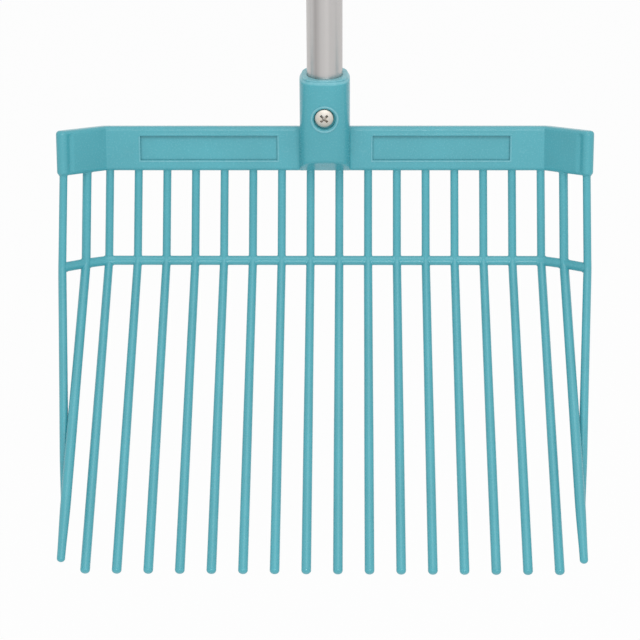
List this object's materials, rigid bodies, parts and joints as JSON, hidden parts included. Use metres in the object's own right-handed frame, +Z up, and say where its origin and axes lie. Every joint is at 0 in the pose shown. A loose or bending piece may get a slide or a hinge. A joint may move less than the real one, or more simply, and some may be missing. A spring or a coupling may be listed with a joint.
{
  "type": "manure fork",
  "caption": "Long-handled manure fork with a slotted plastic basket head, angled side wings, a cross rib and a straight metal tube handle.",
  "frame": {"origin": "on the handle's axis, at the mouth of the head's socket", "axes": "+Z up along the handle, +X across the head to the right as seen from the loading side, +Y away from the loading side, so the tines reach down and towards -Y"},
  "size_m": [0.3814, 0.2687, 1.493],
  "materials": {
    "head_plastic": "teal moulded polypropylene, semi-gloss",
    "tube_metal": "drawn aluminium tube, satin",
    "cap_plastic": "teal moulded plastic, satin",
    "fastener_steel": "zinc plated steel"
  },
  "bodies": {
    "root": {"head_socket": "head_plastic", "beam_left": "head_plastic", "beam_right": "head_plastic", "wing_left": "head_plastic", "wing_right": "head_plastic", "cross_rib": "head_plastic", "tine_01": "head_plastic", "tine_02": "head_plastic", "tine_03": "head_plastic", "tine_04": "head_plastic", "tine_05": "head_plastic", "tine_06": "head_plastic", "tine_07": "head_plastic", "tine_08": "head_plastic", "tine_09": "head_plastic", "tine_10": "head_plastic", "tine_11": "head_plastic", "tine_12": "head_plastic", "tine_13": "head_plastic", "tine_14": "head_plastic", "tine_15": "head_plastic", "tine_16": "head_plastic", "tine_17": "head_plastic", "tine_18": "head_plastic", "tine_19": "head_plastic", "tine_20": "head_plastic", "handle_tube": "tube_metal", "handle_end_cap": "cap_plastic", "clamp_screw": "fastener_steel", "lock_nut": "fastener_steel"}
  },
  "joints": []
}
